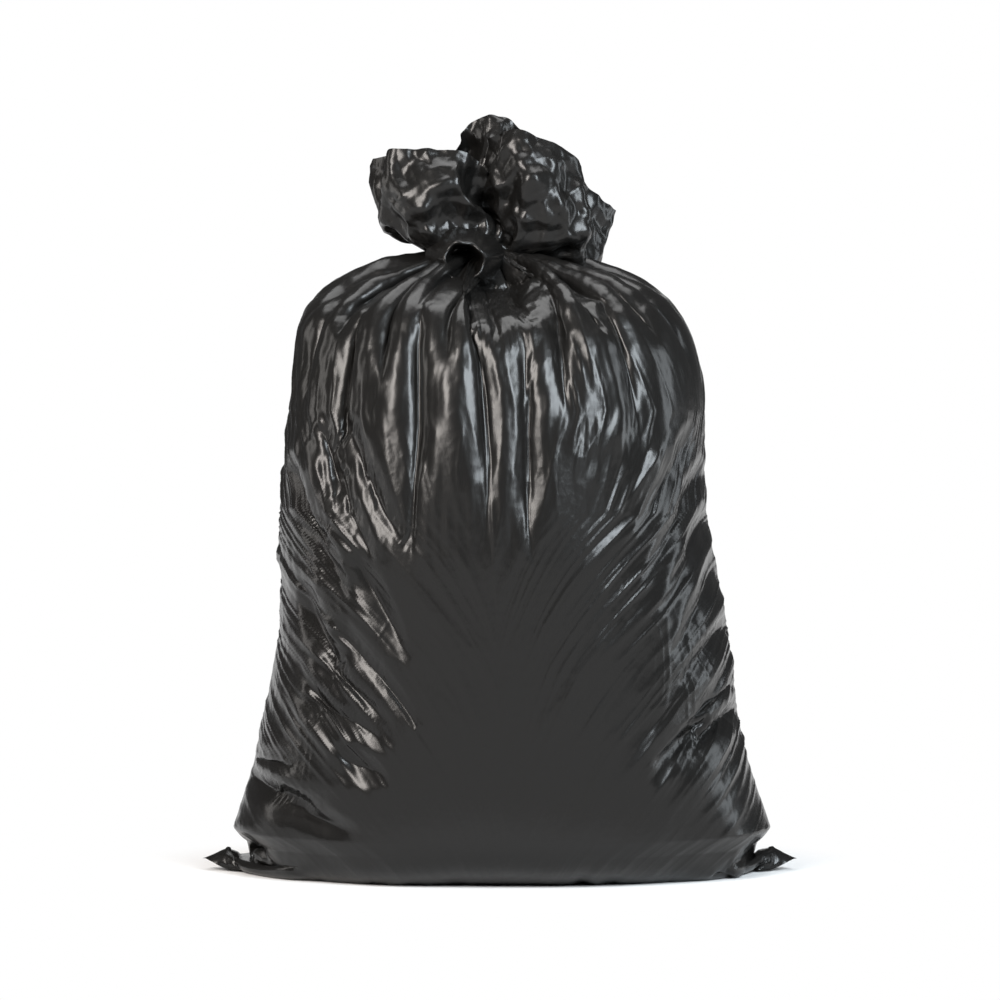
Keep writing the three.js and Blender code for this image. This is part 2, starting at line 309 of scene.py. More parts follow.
def smooth_foot(film):
    """Smooths the film where the front and the back turn from wall to floor."""
    rows = film.shape[0]
    along = np.linspace(0, BODY_LENGTH, rows)[:, None, None]
    part = ease(0.06, 0.12, along) * ease(0.36, 0.26, along)
    for _ in range(300):
        corner = ease(0.17, 0.235, np.abs(film[..., :1]))
        change = (film[:-2] + film[2:]) / 2 - film[1:-1]
        film[1:-1] += change * (part * (1 - corner))[1:-1]
    return film


def flat_corners(film):
    """Lays the sack's corners out as ears, with the seal along the floor and the side fold above it."""
    rows, columns = film.shape[:2]
    up = np.linspace(0, BODY_LENGTH, rows)[:, None]
    for middle, side in ((0, 1), (columns // 2, -1)):
        aside = (np.arange(columns) - middle + columns // 2) % columns - columns // 2
        aside = aside[None] * GIRTH / columns * side
        reach = up + np.abs(aside)
        lift = up - np.abs(aside)
        ear = np.stack([side * (EAR_TIP - 0.66 * reach),
                        0.42 * aside + 0 * reach,
                        np.maximum(0.001, 0.010 + 0.30 * lift + 0.10 * reach)], -1)
        part = ease(EAR_REACH * 1.1, EAR_REACH * 0.7, reach)[..., None]
        film = film * (1 - part) + ear * part
        part = ease(EAR_REACH * 0.45, EAR_REACH * 0.9, reach) * ease(EAR_REACH * 3.4, EAR_REACH * 2.2, reach)
        for _ in range(120):
            change = (np.roll(film, 1, 1) + np.roll(film, -1, 1) - 2 * film) / 4
            change[1:-1] += (film[:-2] + film[2:] - 2 * film[1:-1]) / 4
            change[0] = 0
            film = film + change * part[..., None]
        film[..., 2] = np.maximum(film[..., 2], 0.0)
    return film


def raise_shoulders(film):
    """Stretches the film above the waist so that its shoulders stand at their full height."""
    high = film[..., 2].max()
    share = (SHOULDER_TOP - WAIST_HEIGHT) / (high - WAIST_HEIGHT)
    above = np.maximum(0, film[..., 2] - WAIST_HEIGHT)
    film[..., 2] += above * (share - 1)
    return film


# Folds of the film

def sight(points):
    """Where points stand in the picture that the eye sees: across and down."""
    ray = points - EYE
    depth = ray[..., 1] * math.cos(EYE_RISE) - ray[..., 2] * math.sin(EYE_RISE)
    rise = ray[..., 1] * math.sin(EYE_RISE) + ray[..., 2] * math.cos(EYE_RISE)
    return (HALF_PICTURE + PICTURE_SCALE * ray[..., 0] / depth,
            HALF_PICTURE - PICTURE_SCALE * rise / depth)


def noise(u, v, seed, period=64):
    """Smooth noise of about plus or minus one, repeating along u after period cells."""
    grid = np.random.default_rng(seed).uniform(-1, 1, (period, 64))
    left, below = np.floor(u).astype(int), np.floor(v).astype(int)
    part, rest = u - left, v - below
    part = part ** 3 * (part * (part * 6 - 15) + 10)
    rest = rest ** 3 * (rest * (rest * 6 - 15) + 10)
    right, above = (left + 1) % period, (below + 1) % 64
    left, below = left % period, below % 64
    low = grid[left, below] * (1 - part) + grid[right, below] * part
    high = grid[left, above] * (1 - part) + grid[right, above] * part
    return (low * (1 - rest) + high * rest) * 1.4


def ridges(u, v, seed, period=64):
    """Noise with sharp crests: 1 on a crest, falling to about 0 between crests."""
    return 1 - np.minimum(1, 1.6 * np.abs(noise(u, v, seed, period)))


def facets(points, wave, seed, count=6):
    """Flat facets with sharp creases between them, as in crumpled film: zigzags that come and go."""
    rng = np.random.default_rng(SEED + seed)
    height = np.zeros(points.shape[:-1])
    for _ in range(count):
        ways = rng.normal(0, 1, (4, 3))
        ways /= np.linalg.norm(ways, axis=1, keepdims=True)
        length = wave * rng.uniform(0.7, 1.5)
        start = rng.uniform(0, 2 * np.pi, 4)
        turns = [points @ way * (2 * np.pi / (size * length)) + at
                 for way, size, at in zip(ways, (1.0, 2.9, 1.7, 2.3), start)]
        zigzag = np.abs(2 * ((turns[0] / (2 * np.pi) + 0.16 * np.sin(turns[1])) % 1.0) - 1) - 0.5
        height += zigzag * (0.5 + 0.5 * np.sin(turns[2]) * np.sin(turns[3])) * 2
    return height / count ** 0.5


# Single folds of the front: ends of the crest in the picture, width of its upper slope in the picture, and
# height in mm (below zero is a valley). The film rises gently to the crest and drops steeply below it.
FOLDS = [
    (332, 622, 416, 720, 15, 4.5),
    (314, 652, 398, 728, 18, 5),
    (306, 682, 394, 742, 20, 5.5),
    (352, 556, 408, 656, 12, 3),
    (298, 590, 342, 684, 12, 3.5),
    (294, 462, 344, 610, 12, 3.5),
    (316, 424, 380, 570, 14, 3.5),
    (342, 420, 406, 546, 14, 3.5),
    (250, 752, 306, 771, 8, -8),
    (254, 772, 340, 802, 15, 6),
    (278, 793, 368, 828, 12, 5),
    (338, 752, 388, 775, 8, 2.6),
    (744, 670, 648, 762, 8, -9),
    (746, 690, 646, 778, 15, 6),
    (708, 714, 650, 764, 6, 3),
    (706, 466, 644, 580, 14, 4),
    (718, 506, 660, 610, 12, 3.5),
    (692, 436, 636, 530, 14, 4),
    (724, 556, 670, 652, 12, 3.5),
    (734, 606, 682, 680, 12, 3.5),
    (770, 828, 714, 873, 10, 5),
]


def fold_height(x, y, fold):
    """Height of one fold at points of the picture, and how near they lie to the valley under it."""
    x0, y0, x1, y1, wide, height = fold
    dx, dy = x1 - x0, y1 - y0
    length = math.hypot(dx, dy)
    share = ((x - x0) * dx + (y - y0) * dy) / length ** 2
    below = ((y - y0) * dx - (x - x0) * dy) / length * math.copysign(1, dx)
    below = below + 2.0 * np.sin(share * 4 + x0)
    leaf = np.sin(np.pi * np.clip(share, 0.0, 1.0) ** 0.6)
    wide = wide * (0.3 + 0.7 * leaf)
    if height < 0:
        crest = np.maximum(0, 1 - np.abs(below) / wide)
    else:
        crest = np.maximum(0, np.minimum(1 + below / wide, 1 - below / (0.35 * wide)))
    valley = np.exp(-((below - 0.5 * wide) / 3) ** 2) * leaf * (height > 2.5)
    return height * crest * leaf, valley


# Streaks of drawn film: how far apart they lie in metres, and their height in mm.
STREAKS = [(0.085, 3.0), (0.042, 3.0), (0.021, 2.2), (0.0105, 1.3), (0.0055, 0.7)]

# How the streaks lean towards the belly at each height: the log of how far they spread there.
LEAN_HEIGHTS = [0.0, 0.22, 0.37, 0.47]
LEANS = [2.34, 1.20, 0.22, 0.0]

# How near its sides the sack's streaks turn level, in metres.
SIDE_TURN = 0.05


def gathers(column, to_neck):
    """Crests that run down from the neck and die out at their own length, in mm."""
    drift = 0.5 * noise(column * 12, to_neck * 7, 21, 12) + 0.2 * noise(column * 24, to_neck * 20, 22, 24)
    deep = ridges(column * 26 + drift, to_neck * 3, 23, 26)
    fine = ridges(column * 62 + 2 * drift, to_neck * 4, 24, 62)
    reach = 0.25 + 0.14 * noise(column * 19, to_neck * 0 + 0.5, 25, 19)
    return (1.2 * deep * ease(0.0, 0.07, to_neck) * ease(reach, reach * 0.3, to_neck)
            + 1.0 * fine * ease(0.0, 0.05, to_neck) * ease(reach * 1.1, reach * 0.4, to_neck))


def streaks(side, z):
    """Ridges of film drawn in towards the belly, front and back, in mm."""
    from_side = GIRTH / 4 - np.abs(side)
    edge = np.hypot(from_side, SIDE_TURN) - SIDE_TURN
    drawn = np.sign(side) * (GIRTH / 4 - edge)
    lean, above = (np.interp(z + step, LEAN_HEIGHTS, LEANS) for step in (0, 0.001))
    steep = np.hypot(drawn * (above - lean) / 0.001, from_side / (edge + SIDE_TURN))
    wide = np.exp(lean)
    line = drawn * wide + 0.012 * noise(side * 9, z * 7, 31)
    total = np.zeros_like(z)
    for level, (spacing, height) in enumerate(STREAKS):
        height = height * ease(0.003, 0.009, spacing / (steep + 0.1))
        for octave in range(4):
            cell = spacing * 2 ** octave
            fit = np.maximum(0, 1 - np.abs(np.log2(wide * spacing / cell)))
            crest = ridges(line / cell, z * 4.5 * (1 + 0.4 * level), 40 + 7 * level + octave)
            total += height * fit * crest
    return total


def crinkles(smooth, column, to_neck, flank, patch):
    """Crinkles of the thin film: short ridges, and creased facets on the shoulders and flanks, in mm."""
    u, v = column * GIRTH, to_neck
    ridge = ridges(u * 70 + noise(u * 30, v * 12, 51, 42), v * 14, 52, 98)
    strength = 0.2 + 0.8 * np.maximum(flank, ease(0.42, 0.30, to_neck))
    ridge *= 0.5 * ease(-0.2, 0.6, noise(u * 12, v * 12, 54)) * strength
    creased = ease(0.40, 0.10, to_neck) * ease(0.0, 0.05, to_neck) * (0.4 + 0.6 * patch)
    creased = creased + 0.25 * flank
    stretched = smooth * np.array([1.0, 1.0, 0.6])
    return ridge + creased * (3.0 * facets(stretched, 0.048, 71) + 1.3 * facets(stretched, 0.021, 72))


def fold_film(film):
    """The settled film made smooth, the same with large folds, small folds' heights, and the valleys."""
    rows, columns = film.shape[:2]
    smooth = film.copy()
    to_neck = np.linspace(BODY_LENGTH, 0, rows)[:, None]
    calm = ease(0.30, 0.10, to_neck)[..., None] * 0.5
    for _ in range(2):
        spread = (np.roll(smooth, 3, 1) + np.roll(smooth, -3, 1)) / 2
        smooth[:-1] += (spread[:-1] - smooth[:-1]) * calm[:-1]
    normal = outward(smooth)
    for _ in range(6):
        normal = normal + np.roll(normal, 6, 1) + np.roll(normal, -6, 1)
        normal[6:-6] += normal[12:] + normal[:-12]
        normal /= np.linalg.norm(normal, axis=-1, keepdims=True)
    x, y = sight(smooth)
    z = smooth[..., 2]
    front = ease(-0.05, 0.30, -normal[..., 1])
    column = np.broadcast_to(np.arange(columns) / columns, (rows, columns))
    to_neck = np.broadcast_to(to_neck, (rows, columns))

    side = ((column - 0.75 + 0.5) % 1.0 - 0.5) * GIRTH
    back = np.abs(side) > GIRTH / 4
    side = np.where(back, (0.25 - column) * GIRTH, side)
    flank = ease(0.03, 0.20, np.abs(side + 0.02)) * ease(0.05, 0.16, z) * ease(0.56, 0.42, z)
    patch = ease(-0.5, 0.5, noise(side * 11, z * 8, 33))
    drawn = 0.22 + flank * (0.35 + 0.65 * patch) * np.where(side < 0, 1.0, 0.8)

    # The folds of this sack, as they lie on its front.
    own, valley = np.zeros_like(z), np.zeros_like(z)
    for fold in FOLDS:
        height, under = fold_height(x, y, fold)
        own += height
        valley = np.maximum(valley, under)
    own *= front
    valley *= front

    grounded = ease(0.004, 0.03, z)
    grounded[-1] = 0
    large = (gathers(column, to_neck) + own) * 0.001 * grounded
    small = (streaks(side, z) * drawn + crinkles(smooth, column, to_neck, flank, patch)) * 0.001 * grounded
    return smooth, smooth + normal * large[..., None], small, valley * grounded


def add_small_folds(film, small):
    """Lays the streaks and crinkles on the film, across its own surface."""
    normal = outward(film)
    for _ in range(2):
        normal = normal + np.roll(normal, 1, 1) + np.roll(normal, -1, 1)
        normal[1:-1] += normal[2:] + normal[:-2]
        normal /= np.linalg.norm(normal, axis=-1, keepdims=True)
    return film + normal * small[..., None]


def relax_folds(film, smooth, valley, steps, slack=1.015, stretch=1.003, bend=0.04):
    """Lets the folded film find its own lengths again: soft swells turn into creased film."""
    rows, columns = film.shape[:2]
    film, smooth, valley = film.astype("f4"), smooth.astype("f4"), valley.astype("f4")
    free = np.ones((rows, columns), "f4")
    free[-1] = 0
    free[film[..., 2] < 0.003] = 0
    around = np.linalg.norm(np.roll(film, -1, 1) - film, axis=-1) * slack
    around_two = np.linalg.norm(np.roll(film, -2, 1) - film, axis=-1) * slack
    along = np.linalg.norm(film[1:] - film[:-1], axis=-1) * stretch
    over = np.linalg.norm(np.roll(film[1:], -1, 1) - film[:-1], axis=-1) * stretch
    under = np.linalg.norm(np.roll(film[1:], 1, 1) - film[:-1], axis=-1) * stretch
    speed = np.zeros_like(film)
    for step in range(steps):
        if step % 3 == 0:
            force = outward(film) * (1.2 - 8.0 * valley)[..., None]
            force[..., 2] -= 0.4
            force -= (film - smooth) * 120.0
        speed = (speed + force * TICK) * 0.985
        moved = film + speed * TICK * free[..., None]
        for parity in (0, 1):
            low = np.arange(parity, rows - 1, 2)
            a, b = moved[low], moved[low + 1]
            pull_together(a, b, free[low], free[low + 1], along[low], 1.0, 1.0)
            moved[low], moved[low + 1] = a, b
        for shift in (0, 1):
            turned, loose, rest = (np.roll(grid, -shift, 1) for grid in (moved, free, around))
            pull_together(turned[:, 0::2], turned[:, 1::2], loose[:, 0::2], loose[:, 1::2],
                          rest[:, 0::2], 1.0, 1.0)
            moved = np.roll(turned, shift, 1)
        for turn, rest in ((1, over), (-1, under)):
            for parity in (0, 1):
                low = np.arange(parity, rows - 1, 2)
                a, b = moved[low], np.roll(moved[low + 1], -turn, 1)
                pull_together(a, b, free[low], np.roll(free[low + 1], -turn, 1), rest[low], 0.7, 1.0)
                moved[low], moved[low + 1] = a, np.roll(b, turn, 1)
        if step % 2 == 0:
            for shift in (0, 2):
                turned = np.roll(moved, -shift, 1).reshape(rows, columns // 4, 2, 2, 3)
                loose, rest = (np.roll(grid, -shift, 1).reshape(rows, columns // 4, 2, 2)
                               for grid in (free, around_two))
                pull_together(turned[:, :, 0], turned[:, :, 1], loose[:, :, 0], loose[:, :, 1],
                              rest[:, :, 0], bend, 1.0)
                moved = np.roll(turned.reshape(rows, columns, 3), shift, 1)
        np.maximum(moved[..., 2], 0.0, out=moved[..., 2])
        speed = (moved - film) / TICK
        film = moved
    return film.astype(float)


# The free film above the neck. For each bearing in degrees: four steps of a curve from the neck to the hem,
# each as distance from the neck's middle and height above it, in mm.
CROWN = [
    (0, (22, 0), (88, -48), (138, 8), (74, 58)),
    (14, (22, 0), (80, -52), (140, -26), (76, 10)),
    (36, (22, 0), (76, -24), (118, 40), (62, 84)),
    (60, (22, 0), (34, 24), (42, 76), (44, 136)),
    (86, (22, 0), (24, 30), (32, 76), (30, 126)),
    (112, (22, 0), (26, 30), (36, 80), (38, 142)),
    (124, (22, 0), (96, -34), (122, 40), (48, 78)),
    (158, (22, 0), (88, -36), (160, 16), (68, 80)),
    (176, (22, 0), (74, -26), (194, 54), (84, 138)),
    (190, (22, 0), (74, -26), (194, 60), (82, 150)),
    (208, (22, 0), (72, -24), (172, 54), (70, 128)),
    (226, (22, 0), (60, -16), (116, 50), (64, 108)),
    (246, (20, 0), (40, -6), (64, 40), (52, 74)),
    (258, (16, 0), (0, 10), (-32, 32), (-38, 52)),
    (280, (16, 0), (0, 12), (-24, 44), (-14, 88)),
    (296, (22, 0), (44, 8), (72, 66), (64, 128)),
    (320, (22, 0), (76, -14), (116, 60), (74, 122)),
    (340, (22, 0), (90, -36), (140, 32), (78, 94)),
]
CROWN_DEPTH = 0.75
CLEFT_BEARING = 268
HEM_RAGS = 0.007

# How much longer round the free film is than the outline it keeps to, at the neck and at the hem.
CROWN_SLACK = (1.45, 1.10)

# Rounds of settling the free film, each on a finer grid: steps, stiffness, and depth of the new creases.
CROWN_ROUNDS = [(500, 0.2, 0), (400, 0.2, 0.004), (300, 0.25, 0.004), (160, 0.3, 0.0008), (30, 0.2, 0)]


def crown_curves(rows, bearing):
    """Distance from the neck's middle and height above it, for each row at each bearing in degrees."""
    stops = np.array([row[0] for row in CROWN])
    steps = np.array([row[1:] for row in CROWN]) * 0.001
    wrapped = np.concatenate([stops - 360, stops, stops + 360])
    steps = np.concatenate([steps] * 3)
    knots = np.stack([[np.interp(bearing, wrapped, steps[:, step, axis]) for axis in range(2)]
                      for step in range(4)]).transpose(2, 0, 1)
    t = np.linspace(0, 1, rows)[:, None, None]
    curve = ((1 - t) ** 3 * knots[:, 0] + 3 * t * (1 - t) ** 2 * knots[:, 1]
             + 3 * t ** 2 * (1 - t) * knots[:, 2] + t ** 3 * knots[:, 3])
    place = np.broadcast_to(bearing / 24, (rows, len(bearing)))
    curve[..., 1] += HEM_RAGS * noise(place, np.zeros_like(place), 61, 15) * t[..., 0] ** 2
    return curve


def crown_points(rows, bearing):
    """The crown's outline as points, for each row at each bearing."""
    curve, turn = crown_curves(rows, bearing), np.radians(bearing)
    return np.stack([NECK[0] + curve[..., 0] * np.cos(turn),
                     NECK[1] + CROWN_DEPTH * curve[..., 0] * np.sin(turn),
                     NECK[2] + curve[..., 1]], -1)


def crown_bearings(columns):
    """Bearings that lie even distances apart along the hem."""
    fine = np.linspace(0, 360, 1441)
    hem = crown_points(8, fine)[-1]
    walked = np.concatenate([[0], np.cumsum(np.linalg.norm(np.diff(hem, axis=0), axis=-1))])
    return np.interp(np.arange(columns) / columns * walked[-1], walked, fine)


def crown_guide(rows, columns):
    """The outline that the free film keeps to: lobes that stand out of the neck, with clefts between."""
    return crown_points(rows, crown_bearings(columns))


def settle_crown(film, guide, steps, bend, support=40.0, weight=0.3):
    """Crumples the free film, which is longer round than the outline it keeps to."""
    rows, columns = film.shape[:2]
    up = CROWN_LENGTH / (rows - 1)
    round_row = np.linalg.norm(np.roll(guide, -1, 1) - guide, axis=-1).sum(1)
    across = round_row / columns * np.linspace(*CROWN_SLACK, rows)
    slant = np.hypot(across, up)
    free = np.ones((rows, columns))
    free[0] = 0
    push = np.clip(np.linspace(0, CROWN_LENGTH, rows) / 0.05, 0.03, 1.0)
    off = (crown_bearings(columns) - CLEFT_BEARING + 180) % 360 - 180
    cleft = 1 + 11 * np.exp(-(off / 22) ** 2)[None] * np.ones((rows, 1))
    speed = np.zeros_like(film)
    for _ in range(steps):
        force = (guide - film) * support * cleft[..., None]
        force[..., 2] -= weight
        speed = (speed + force * TICK) * 0.98
        fast = np.linalg.norm(speed, axis=-1, keepdims=True)
        speed *= np.minimum(1, 1.0 / (fast + 1e-9))
        moved = film + speed * TICK * free[..., None]
        hold_along(moved, free, 1, up, 1.0)
        hold_around(moved, free, 1, across, 0.7, push)
        hold_across(moved, free, 1, slant, 0.5, push)
        hold_across(moved, free, -1, slant, 0.5, push)
        hold_around(moved, free, 2, 2 * across, bend, push)
        hold_along(moved, free, 2, 2 * up, bend)
        speed = (moved - film) / TICK
        film = moved
    return film


def settled_crown():
    """The free film above the neck, crumpled in large folds first and then in smaller ones."""
    rng = np.random.default_rng(SEED + 5)
    rows, columns = 4, 24
    film = crown_guide(rows, columns)
    film += rng.normal(0, 0.016, film.shape) * np.linspace(0, 1, rows)[:, None, None]
    for steps, bend, crease in CROWN_ROUNDS:
        film = settle_crown(film, crown_guide(rows, columns), steps, bend)
        film[1:] += crease * rng.normal(0, 1, film[1:].shape) * np.linspace(0.3, 1, rows - 1)[:, None, None]
        if columns < 384:
            film = refine(film)
            rows, columns = film.shape[:2]
    for _ in range(6):
        film[1:] += (np.roll(film, 1, 1) + np.roll(film, -1, 1) - 2 * film)[1:] / 4
        film[1:-1] += (film[:-2] + film[2:] - 2 * film[1:-1]) / 4
    film = refine(film)
    normal = outward(film)
    for _ in range(4):
        normal = normal + np.roll(normal, 4, 1) + np.roll(normal, -4, 1)
        normal /= np.linalg.norm(normal, axis=-1, keepdims=True) + 1e-9
    rise = ease(0.0, 0.25, np.linspace(0, 1, film.shape[0]))[:, None]
    height = 0.0052 * facets(film, 0.050, 63) + 0.0026 * facets(film, 0.022, 64)
    film[1:] += (normal * (height * rise)[..., None])[1:]
    return film


# The sack's outline in the picture: how far down, and where its left and its right side stand there.
OUTLINE = np.array([
    (246, 395, 575), (262, 351, 632), (280, 322, 658), (300, 301, 676), (320, 295, 688), (340, 294, 696),
    (360, 293, 702), (400, 290, 706), (440, 285, 705), (500, 279, 706), (560, 277, 716), (600, 281, 724),
    (640, 277, 732), (680, 270, 735), (720, 260, 740), (760, 254, 749), (800, 242, 762), (826, 233, 771),
])


def fit_outline(film):
    """Draws the film in or out so that its sides stand where the sack's outline stands."""
    down, left, right = OUTLINE[::-1].T
    scale = PICTURE_SCALE / EYE_DISTANCE
    height = EYE_HEIGHT + (HALF_PICTURE - down) / scale
    want_left = (HALF_PICTURE - left) / scale
    want_right = (right - HALF_PICTURE) / scale
    z = film[..., 2]
    levels = np.linspace(height[0], min(height[-1], z.max() - 0.006), 48)
    step = levels[1] - levels[0]
    gain = np.ones((2, len(levels)))
    for index, level in enumerate(levels):
        near = np.abs(z - level) < step * 0.75
        x = film[..., 0][near]
        gain[0, index] = np.interp(level, height, want_left) / -x.min()
        gain[1, index] = np.interp(level, height, want_right) / x.max()
    for _ in range(4):
        gain[:, 1:-1] = (gain[:, :-2] + 2 * gain[:, 1:-1] + gain[:, 2:]) / 4
    gain = np.clip(gain, 0.8, 1.5)
    deep = np.maximum(1, gain.mean(axis=0))
    film[..., 1] *= np.interp(z, levels, deep) ** ease(0.52, 0.58, z)
    ends = film[z < 0.03, 0]
    low = np.array([EAR_TIP / -ends.min(), EAR_TIP / ends.max()])
    stops = np.concatenate([[0.0, 0.03], levels])
    for index, sign in ((0, -1), (1, 1)):
        share = np.interp(z, stops, np.concatenate([[low[index]] * 2, gain[index]]))
        part = sign * film[..., 0] > 0
        film[..., 0] = np.where(part, film[..., 0] * share, film[..., 0])
    return film


# Pieces of the sack

def grid_mesh(name, film):
    """A mesh of quads over a grid of film that closes on itself round the sack."""
    rows, columns = film.shape[:2]
    index = np.arange(rows * columns).reshape(rows, columns)
    a, d = index[:-1], index[1:]
    faces = np.stack([a, np.roll(a, -1, 1), np.roll(d, -1, 1), d], -1).reshape(-1, 4)
    mesh = bpy.data.meshes.new(name)
    mesh.from_pydata(film.reshape(-1, 3).tolist(), [], faces.tolist())
    mesh.update()
    piece = bpy.data.objects.new(name, mesh)
    bpy.context.collection.objects.link(piece)
    bm = bmesh.new()
    bm.from_mesh(mesh)
    bmesh.ops.remove_doubles(bm, verts=bm.verts, dist=0.00005)
    bmesh.ops.recalc_face_normals(bm, faces=bm.faces)
    bm.to_mesh(mesh)
    bm.free()
    mesh.polygons.foreach_set("use_smooth", np.ones(len(mesh.polygons), bool))
    mesh.update()
    return piece


def strip_mesh(name, film, normal, first, count):
    """A mesh of quads over some columns of the film, shaded as part of the whole."""
    chosen = np.arange(first, first + count + 1) % film.shape[1]
    rows, columns = film.shape[0], len(chosen)
    index = np.arange(rows * columns).reshape(rows, columns)
    faces = np.stack([index[:-1, :-1], index[:-1, 1:], index[1:, 1:], index[1:, :-1]], -1).reshape(-1, 4)
    mesh = bpy.data.meshes.new(name)
    mesh.from_pydata(film[:, chosen].reshape(-1, 3).tolist(), [], faces.tolist())
    mesh.polygons.foreach_set("use_smooth", np.ones(len(mesh.polygons), bool))
    mesh.normals_split_custom_set_from_vertices(normal[:, chosen].reshape(-1, 3).tolist())
    mesh.update()
    piece = bpy.data.objects.new(name, mesh)
    bpy.context.collection.objects.link(piece)
    return piece


def knot_film(columns=96, rows=33):
    """The film's own tie: a roll twisted round the neck."""
    turn = 2 * np.pi * np.arange(columns) / columns
    roll = np.linspace(0, 2 * np.pi, rows)[:, None]
    thick = 0.0125 + 0.0022 * np.sin(7 * turn + 2.2 * roll) + 0.0012 * np.sin(15 * turn - roll)
    ring = 0.020 + 0.003 * np.sin(2 * turn + 1)
    out = ring + thick * np.cos(roll)
    up = thick * np.sin(roll) * 0.95 + 0.004 * np.sin(turn + 2.2)
    return np.stack([NECK[0] + out * np.cos(turn), NECK[1] + out * np.sin(turn), NECK[2] + 0.004 + up], -1)


# The tuck from its outer skirt over the rim to its closed end: distance from its axis, depth behind the rim.
TUCK_PROFILE = np.array([
    [0.0400, 0.044], [0.0280, 0.016], [0.0215, 0.003], [0.0195, 0.000],
    [0.0180, 0.002], [0.0165, 0.012], [0.0150, 0.030], [0.0040, 0.050],
])


def tuck_film(columns=72):
    """A tuck of rolled film under the knot, whose open end faces the front."""
    turn = 2 * np.pi * np.arange(columns) / columns
    out = TUCK_PROFILE[:, :1] * (1 + 0.05 * np.sin(3 * turn + 1) + 0.03 * np.sin(7 * turn))
    back = TUCK_PROFILE[:, 1:] + 0.0015 * np.sin(5 * turn + 2)
    return np.stack([TUCK[0] + out * np.cos(turn), TUCK[1] + back, TUCK[2] + out * np.sin(turn)], -1)


def film_material():
    """Black polythene: dark, glossy, with a fine crinkle."""
    material = bpy.data.materials.new("black_film")
    material.use_nodes = True
    nodes, links = material.node_tree.nodes, material.node_tree.links
    shader = nodes["Principled BSDF"]
    shader.inputs["Base Color"].default_value = (0.008, 0.0076, 0.0072, 1)
    shader.inputs["Roughness"].default_value = 0.26
    shader.inputs["IOR"].default_value = 1.52
    shader.inputs["Specular IOR Level"].default_value = 0.3
    place = nodes.new("ShaderNodeTexCoord")
    cells = nodes.new("ShaderNodeTexVoronoi")
    cells.feature = "F1"
    cells.inputs["Scale"].default_value = 110.0
    grain = nodes.new("ShaderNodeTexNoise")
    grain.inputs["Scale"].default_value = 260.0
    grain.inputs["Detail"].default_value = 3.0
    mix = nodes.new("ShaderNodeMath")
    mix.operation = "MULTIPLY_ADD"
    mix.inputs[1].default_value = 0.5
    bump = nodes.new("ShaderNodeBump")
    bump.inputs["Strength"].default_value = 0.12
    bump.inputs["Distance"].default_value = 0.0012
    links.new(place.outputs["Object"], cells.inputs["Vector"])
    links.new(place.outputs["Object"], grain.inputs["Vector"])
    links.new(grain.outputs["Fac"], mix.inputs[0])
    links.new(cells.outputs["Distance"], mix.inputs[2])
    links.new(mix.outputs["Value"], bump.inputs["Height"])
    links.new(bump.outputs["Normal"], shader.inputs["Normal"])
    return material


settled = raise_shoulders(flat_corners(smooth_foot(settled_body())))
smooth, folded, small, valley = fold_film(refine(settled))
film = fit_outline(add_small_folds(relax_folds(folded, smooth, valley, 60), small))
shading = outward(film)
quarter = film.shape[1] // 4
body = [strip_mesh("bag_" + side, film, shading, turn * quarter - quarter // 2, quarter)
        for turn, side in enumerate(("right", "back", "left", "front"))]
crown = grid_mesh("bag_crown", settled_crown())
knot = grid_mesh("bag_knot", knot_film())
tuck = grid_mesh("bag_tuck", tuck_film())

film_black = film_material()
for piece in (*body, crown, knot, tuck):
    piece.data.materials.append(film_black)
    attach(piece, "root")
    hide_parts("bin_bag")


# Floor, light and eye

# Half the floor's side, and the backdrop's distance, half width and height.
STAGE = 25.0
BACKDROP = (8.0, 1.8, 2.4)

# Half axes of the patch of floor that shows the sack's shadow.
SHADOW_PATCH = (0.42, 0.36)


def softbox(name, place, aim, size, power, colour):
    """A rectangular lamp that faces a point."""
    lamp = bpy.data.lights.new(name, "AREA")
    lamp.shape = "RECTANGLE"
    lamp.size, lamp.size_y = size
    lamp.energy = power
    lamp.color = colour
    holder = bpy.data.objects.new(name, lamp)
    bpy.context.collection.objects.link(holder)
    holder.location = place
    holder.rotation_euler = (Vector(aim) - Vector(place)).to_track_quat("-Z", "Y").to_euler()


def seen_rays(nodes, links):
    """One for rays that show the background: to the eye, in a reflection and through the film."""
    path = nodes.new("ShaderNodeLightPath")
    seen = path.outputs["Is Camera Ray"]
    for other in ("Is Glossy Ray", "Is Transmission Ray"):
        either = nodes.new("ShaderNodeMath")
        either.operation = "MAXIMUM"
        links.new(seen, either.inputs[0])
        links.new(path.outputs[other], either.inputs[1])
        seen = either.outputs["Value"]
    return seen


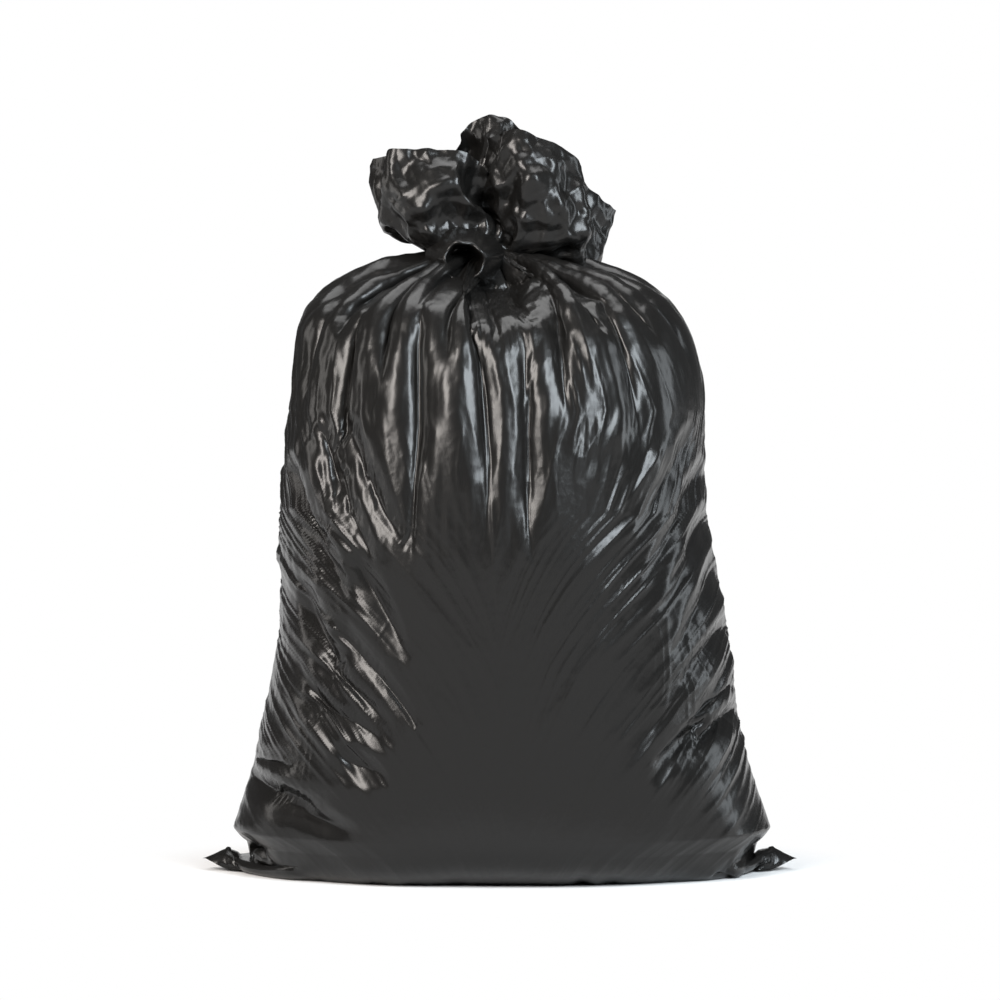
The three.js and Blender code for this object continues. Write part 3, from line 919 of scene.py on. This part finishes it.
def white_floor():
    """A white floor and backdrop, where the floor takes the sack's shadow near it."""
    mesh = bpy.data.meshes.new("floor")
    far, wide, high = BACKDROP
    corners = [(-STAGE, -STAGE, 0), (STAGE, -STAGE, 0), (STAGE, STAGE, 0), (-STAGE, STAGE, 0),
               (-wide, far, 0), (wide, far, 0), (wide, far, high), (-wide, far, high)]
    mesh.from_pydata(corners, [], [(0, 1, 2, 3), (4, 5, 6, 7)])
    floor = bpy.data.objects.new("floor", mesh)
    bpy.context.collection.objects.link(floor)
    material = bpy.data.materials.new("floor_white")
    material.use_nodes = True
    nodes, links = material.node_tree.nodes, material.node_tree.links
    shader = nodes["Principled BSDF"]
    shader.inputs["Base Color"].default_value = (0.9, 0.9, 0.9, 1)
    shader.inputs["Roughness"].default_value = 0.8
    shader.inputs["Specular IOR Level"].default_value = 0.0
    white = nodes.new("ShaderNodeEmission")
    white.inputs["Strength"].default_value = 1.0
    place = nodes.new("ShaderNodeTexCoord")
    shape = nodes.new("ShaderNodeMapping")
    shape.inputs["Scale"].default_value = (1 / SHADOW_PATCH[0], 1 / SHADOW_PATCH[1], 1.0)
    length = nodes.new("ShaderNodeVectorMath")
    length.operation = "LENGTH"
    fade = nodes.new("ShaderNodeMapRange")
    fade.interpolation_type = "SMOOTHSTEP"
    fade.inputs["From Min"].default_value = 0.62
    fade.inputs["From Max"].default_value = 1.0
    pick = nodes.new("ShaderNodeMixShader")
    links.new(place.outputs["Object"], shape.inputs["Vector"])
    links.new(shape.outputs["Vector"], length.inputs[0])
    links.new(length.outputs["Value"], fade.inputs["Value"])
    links.new(fade.outputs["Result"], pick.inputs["Fac"])
    links.new(shader.outputs["BSDF"], pick.inputs[1])
    links.new(white.outputs["Emission"], pick.inputs[2])
    dim = nodes.new("ShaderNodeBsdfDiffuse")
    dim.inputs["Color"].default_value = (0.36, 0.36, 0.36, 1)
    seen = nodes.new("ShaderNodeMixShader")
    links.new(seen_rays(nodes, links), seen.inputs["Fac"])
    links.new(dim.outputs["BSDF"], seen.inputs[1])
    links.new(pick.outputs["Shader"], seen.inputs[2])
    links.new(seen.outputs["Shader"], nodes["Material Output"].inputs["Surface"])
    mesh.materials.append(material)


def dim_room():
    """A dim room round the stage."""
    world = bpy.data.worlds.new("room")
    bpy.context.scene.world = world
    world.use_nodes = True
    world.node_tree.nodes["Background"].inputs["Color"].default_value = (0.09, 0.09, 0.09, 1)


white_floor()
dim_room()
softbox("left_softbox", (-1.45, -2.1, 1.75), (0, 0, 0.45), (0.8, 1.6), 86, (1.0, 0.94, 0.89))
softbox("right_softbox", (1.35, -2.1, 1.75), (0, 0, 0.45), (0.8, 1.6), 92, (0.86, 0.94, 1.0))
softbox("top_softbox", (0.0, 0.2, 2.4), (0, 0, 0.3), (1.6, 1.2), 25, (1.0, 1.0, 1.0))
softbox("left_strip", (-1.9, 0.1, 0.9), (0, 0, 0.4), (0.5, 1.4), 7, (1.0, 0.96, 0.92))
softbox("right_strip", (1.9, 0.2, 0.8), (0, 0, 0.4), (0.5, 1.6), 11, (0.88, 0.95, 1.0))

lens = bpy.data.cameras.new("eye")
lens.sensor_fit = "HORIZONTAL"
lens.angle = EYE_ANGLE
eye = bpy.data.objects.new("eye", lens)
bpy.context.collection.objects.link(eye)
eye.location = EYE.tolist()
eye.rotation_euler = (math.pi / 2 - EYE_RISE, 0, 0)
bpy.context.scene.camera = eye
bpy.context.scene.view_settings.view_transform = "Standard"
